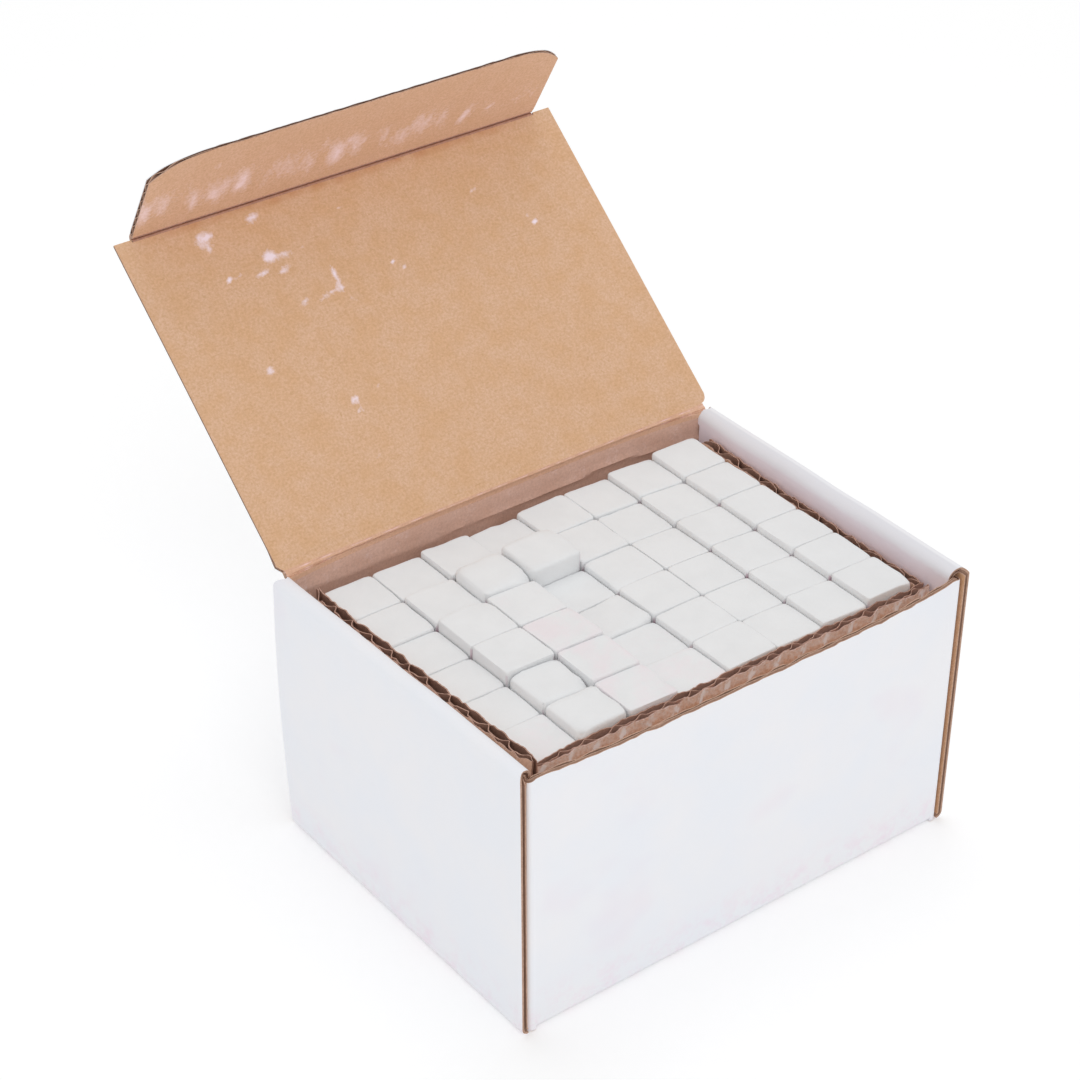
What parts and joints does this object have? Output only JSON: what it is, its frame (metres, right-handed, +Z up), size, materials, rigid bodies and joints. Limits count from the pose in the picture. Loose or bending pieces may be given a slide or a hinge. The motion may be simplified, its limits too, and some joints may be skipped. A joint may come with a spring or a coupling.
{
  "type": "box of gymnastics chalk blocks",
  "caption": "Open corrugated mailer box with a hinged tuck-flap lid, packed with rows of small square chalk blocks and corrugated pads that keep them tight.",
  "frame": {"origin": "middle of the underside of the tray", "axes": "+Z up, +Y from the front panel to the lid's hinge, +X to the right seen from the front"},
  "size_m": [0.136, 0.1736, 0.1644],
  "materials": {
    "white_lined_board": "matt white paper liner over kraft board",
    "kraft_board": "matt brown kraft paper",
    "pad_board": "matt dark brown kraft paper, raw fluted edges",
    "chalk": "dry pressed powder, soft edges"
  },
  "bodies": {
    "tray": {"bottom_panel": "kraft_board", "front_panel": "white_lined_board", "back_panel": "white_lined_board", "left_side_wall": "white_lined_board", "right_side_wall": "white_lined_board", "chalk_bottom_layer": "chalk", "chalk_middle_layer": "chalk"},
    "lid": {"lid_panel": "kraft_board"},
    "tuck_flap": {"lid_tuck_flap": "kraft_board"},
    "left_pad": {"pad_left": "pad_board"},
    "front_pad": {"pad_front": "pad_board"},
    "right_pad": {"pad_right": "pad_board"},
    "block_r1_c1": {"chalk_block_r1_c1": "chalk"},
    "block_r1_c2": {"chalk_block_r1_c2": "chalk"},
    "block_r1_c3": {"chalk_block_r1_c3": "chalk"},
    "block_r1_c4": {"chalk_block_r1_c4": "chalk"},
    "block_r1_c5": {"chalk_block_r1_c5": "chalk"},
    "block_r1_c6": {"chalk_block_r1_c6": "chalk"},
    "block_r1_c7": {"chalk_block_r1_c7": "chalk"},
    "block_r1_c8": {"chalk_block_r1_c8": "chalk"},
    "block_r2_c1": {"chalk_block_r2_c1": "chalk"},
    "block_r2_c2": {"chalk_block_r2_c2": "chalk"},
    "block_r2_c3": {"chalk_block_r2_c3": "chalk"},
    "block_r2_c4": {"chalk_block_r2_c4": "chalk"},
    "block_r2_c5": {"chalk_block_r2_c5": "chalk"},
    "block_r2_c6": {"chalk_block_r2_c6": "chalk"},
    "block_r2_c7": {"chalk_block_r2_c7": "chalk"},
    "block_r2_c8": {"chalk_block_r2_c8": "chalk"},
    "block_r3_c1": {"chalk_block_r3_c1": "chalk"},
    "block_r3_c2": {"chalk_block_r3_c2": "chalk"},
    "block_r3_c3": {"chalk_block_r3_c3": "chalk"},
    "block_r3_c4": {"chalk_block_r3_c4": "chalk"},
    "block_r3_c5": {"chalk_block_r3_c5": "chalk"},
    "block_r3_c6": {"chalk_block_r3_c6": "chalk"},
    "block_r3_c7": {"chalk_block_r3_c7": "chalk"},
    "block_r3_c8": {"chalk_block_r3_c8": "chalk"},
    "block_r4_c1": {"chalk_block_r4_c1": "chalk"},
    "block_r4_c2": {"chalk_block_r4_c2": "chalk"},
    "block_r4_c3": {"chalk_block_r4_c3": "chalk"},
    "block_r4_c4": {"chalk_block_r4_c4": "chalk"},
    "block_r4_c5": {"chalk_block_r4_c5": "chalk"},
    "block_r4_c6": {"chalk_block_r4_c6": "chalk"},
    "block_r4_c7": {"chalk_block_r4_c7": "chalk"},
    "block_r4_c8": {"chalk_block_r4_c8": "chalk"},
    "block_r5_c1": {"chalk_block_r5_c1": "chalk"},
    "block_r5_c2": {"chalk_block_r5_c2": "chalk"},
    "block_r5_c3": {"chalk_block_r5_c3": "chalk"},
    "block_r5_c4": {"chalk_block_r5_c4": "chalk"},
    "block_r5_c5": {"chalk_block_r5_c5": "chalk"},
    "block_r5_c6": {"chalk_block_r5_c6": "chalk"},
    "block_r5_c7": {"chalk_block_r5_c7": "chalk"},
    "block_r5_c8": {"chalk_block_r5_c8": "chalk"},
    "block_r6_c1": {"chalk_block_r6_c1": "chalk"},
    "block_r6_c2": {"chalk_block_r6_c2": "chalk"},
    "block_r6_c3": {"chalk_block_r6_c3": "chalk"},
    "block_r6_c4": {"chalk_block_r6_c4": "chalk"},
    "block_r6_c5": {"chalk_block_r6_c5": "chalk"},
    "block_r6_c6": {"chalk_block_r6_c6": "chalk"},
    "block_r6_c7": {"chalk_block_r6_c7": "chalk"},
    "block_r6_c8": {"chalk_block_r6_c8": "chalk"}
  },
  "joints": [
    {"name": "lid_hinge", "type": "hinge", "parent": "tray", "child": "lid", "pos_m": [0, 0.0485, 0.0772], "axis": [-1, 0, 0], "range_deg": [-139, 41]},
    {"name": "tuck_flap_hinge", "type": "hinge", "parent": "lid", "child": "tuck_flap", "pos_m": [0, 0.11875, 0.13814], "axis": [-1, 0, 0], "range_deg": [-12.75, 3.8]},
    {"name": "pull_pad_left", "type": "slide", "parent": "tray", "child": "left_pad", "axis": [0, 0, 1], "range_m": [0, 0.08]},
    {"name": "pull_pad_front", "type": "slide", "parent": "tray", "child": "front_pad", "axis": [0, 0, 1], "range_m": [0, 0.08]},
    {"name": "pull_pad_right", "type": "slide", "parent": "tray", "child": "right_pad", "axis": [0, 0, 1], "range_m": [0, 0.08]},
    {"name": "lift_r1_c1", "type": "slide", "parent": "tray", "child": "block_r1_c1", "axis": [0, 0, 1], "range_m": [0, 0.032]},
    {"name": "lift_r1_c2", "type": "slide", "parent": "tray", "child": "block_r1_c2", "axis": [0, 0, 1], "range_m": [0, 0.032]},
    {"name": "lift_r1_c3", "type": "slide", "parent": "tray", "child": "block_r1_c3", "axis": [0, 0, 1], "range_m": [0, 0.032]},
    {"name": "lift_r1_c4", "type": "slide", "parent": "tray", "child": "block_r1_c4", "axis": [0, 0, 1], "range_m": [0, 0.032]},
    {"name": "lift_r1_c5", "type": "slide", "parent": "tray", "child": "block_r1_c5", "axis": [0, 0, 1], "range_m": [0, 0.032]},
    {"name": "lift_r1_c6", "type": "slide", "parent": "tray", "child": "block_r1_c6", "axis": [0, 0, 1], "range_m": [0, 0.032]},
    {"name": "lift_r1_c7", "type": "slide", "parent": "tray", "child": "block_r1_c7", "axis": [0, 0, 1], "range_m": [0, 0.032]},
    {"name": "lift_r1_c8", "type": "slide", "parent": "tray", "child": "block_r1_c8", "axis": [0, 0, 1], "range_m": [0, 0.032]},
    {"name": "lift_r2_c1", "type": "slide", "parent": "tray", "child": "block_r2_c1", "axis": [0, 0, 1], "range_m": [0, 0.032]},
    {"name": "lift_r2_c2", "type": "slide", "parent": "tray", "child": "block_r2_c2", "axis": [0, 0, 1], "range_m": [0, 0.032]},
    {"name": "lift_r2_c3", "type": "slide", "parent": "tray", "child": "block_r2_c3", "axis": [0, 0, 1], "range_m": [0, 0.032]},
    {"name": "lift_r2_c4", "type": "slide", "parent": "tray", "child": "block_r2_c4", "axis": [0, 0, 1], "range_m": [0, 0.032]},
    {"name": "lift_r2_c5", "type": "slide", "parent": "tray", "child": "block_r2_c5", "axis": [0, 0, 1], "range_m": [0, 0.032]},
    {"name": "lift_r2_c6", "type": "slide", "parent": "tray", "child": "block_r2_c6", "axis": [0, 0, 1], "range_m": [0, 0.032]},
    {"name": "lift_r2_c7", "type": "slide", "parent": "tray", "child": "block_r2_c7", "axis": [0, 0, 1], "range_m": [0, 0.032]},
    {"name": "lift_r2_c8", "type": "slide", "parent": "tray", "child": "block_r2_c8", "axis": [0, 0, 1], "range_m": [0, 0.032]},
    {"name": "lift_r3_c1", "type": "slide", "parent": "tray", "child": "block_r3_c1", "axis": [0, 0, 1], "range_m": [0, 0.032]},
    {"name": "lift_r3_c2", "type": "slide", "parent": "tray", "child": "block_r3_c2", "axis": [0, 0, 1], "range_m": [0, 0.032]},
    {"name": "lift_r3_c3", "type": "slide", "parent": "tray", "child": "block_r3_c3", "axis": [0, 0, 1], "range_m": [0, 0.032]},
    {"name": "lift_r3_c4", "type": "slide", "parent": "tray", "child": "block_r3_c4", "axis": [0, 0, 1], "range_m": [0, 0.032]},
    {"name": "lift_r3_c5", "type": "slide", "parent": "tray", "child": "block_r3_c5", "axis": [0, 0, 1], "range_m": [0, 0.032]},
    {"name": "lift_r3_c6", "type": "slide", "parent": "tray", "child": "block_r3_c6", "axis": [0, 0, 1], "range_m": [0, 0.032]},
    {"name": "lift_r3_c7", "type": "slide", "parent": "tray", "child": "block_r3_c7", "axis": [0, 0, 1], "range_m": [0, 0.032]},
    {"name": "lift_r3_c8", "type": "slide", "parent": "tray", "child": "block_r3_c8", "axis": [0, 0, 1], "range_m": [0, 0.032]},
    {"name": "lift_r4_c1", "type": "slide", "parent": "tray", "child": "block_r4_c1", "axis": [0, 0, 1], "range_m": [0, 0.032]},
    {"name": "lift_r4_c2", "type": "slide", "parent": "tray", "child": "block_r4_c2", "axis": [0, 0, 1], "range_m": [0, 0.032]},
    {"name": "lift_r4_c3", "type": "slide", "parent": "tray", "child": "block_r4_c3", "axis": [0, 0, 1], "range_m": [0, 0.032]},
    {"name": "lift_r4_c4", "type": "slide", "parent": "tray", "child": "block_r4_c4", "axis": [0, 0, 1], "range_m": [0, 0.032]},
    {"name": "lift_r4_c5", "type": "slide", "parent": "tray", "child": "block_r4_c5", "axis": [0, 0, 1], "range_m": [0, 0.032]},
    {"name": "lift_r4_c6", "type": "slide", "parent": "tray", "child": "block_r4_c6", "axis": [0, 0, 1], "range_m": [0, 0.032]},
    {"name": "lift_r4_c7", "type": "slide", "parent": "tray", "child": "block_r4_c7", "axis": [0, 0, 1], "range_m": [0, 0.032]},
    {"name": "lift_r4_c8", "type": "slide", "parent": "tray", "child": "block_r4_c8", "axis": [0, 0, 1], "range_m": [0, 0.032]},
    {"name": "lift_r5_c1", "type": "slide", "parent": "tray", "child": "block_r5_c1", "axis": [0, 0, 1], "range_m": [0, 0.032]},
    {"name": "lift_r5_c2", "type": "slide", "parent": "tray", "child": "block_r5_c2", "axis": [0, 0, 1], "range_m": [0, 0.032]},
    {"name": "lift_r5_c3", "type": "slide", "parent": "tray", "child": "block_r5_c3", "axis": [0, 0, 1], "range_m": [0, 0.032]},
    {"name": "lift_r5_c4", "type": "slide", "parent": "tray", "child": "block_r5_c4", "axis": [0, 0, 1], "range_m": [0, 0.032]},
    {"name": "lift_r5_c5", "type": "slide", "parent": "tray", "child": "block_r5_c5", "axis": [0, 0, 1], "range_m": [0, 0.032]},
    {"name": "lift_r5_c6", "type": "slide", "parent": "tray", "child": "block_r5_c6", "axis": [0, 0, 1], "range_m": [0, 0.032]},
    {"name": "lift_r5_c7", "type": "slide", "parent": "tray", "child": "block_r5_c7", "axis": [0, 0, 1], "range_m": [0, 0.032]},
    {"name": "lift_r5_c8", "type": "slide", "parent": "tray", "child": "block_r5_c8", "axis": [0, 0, 1], "range_m": [0, 0.032]},
    {"name": "lift_r6_c1", "type": "slide", "parent": "tray", "child": "block_r6_c1", "axis": [0, 0, 1], "range_m": [0, 0.032]},
    {"name": "lift_r6_c2", "type": "slide", "parent": "tray", "child": "block_r6_c2", "axis": [0, 0, 1], "range_m": [0, 0.032]},
    {"name": "lift_r6_c3", "type": "slide", "parent": "tray", "child": "block_r6_c3", "axis": [0, 0, 1], "range_m": [0, 0.032]},
    {"name": "lift_r6_c4", "type": "slide", "parent": "tray", "child": "block_r6_c4", "axis": [0, 0, 1], "range_m": [0, 0.032]},
    {"name": "lift_r6_c5", "type": "slide", "parent": "tray", "child": "block_r6_c5", "axis": [0, 0, 1], "range_m": [0, 0.032]},
    {"name": "lift_r6_c6", "type": "slide", "parent": "tray", "child": "block_r6_c6", "axis": [0, 0, 1], "range_m": [0, 0.032]},
    {"name": "lift_r6_c7", "type": "slide", "parent": "tray", "child": "block_r6_c7", "axis": [0, 0, 1], "range_m": [0, 0.032]},
    {"name": "lift_r6_c8", "type": "slide", "parent": "tray", "child": "block_r6_c8", "axis": [0, 0, 1], "range_m": [0, 0.032]}
  ],
  "couplings": [
    {"joint": "tuck_flap_hinge", "follows": "lid_hinge", "ratio": 0.091367}
  ]
}
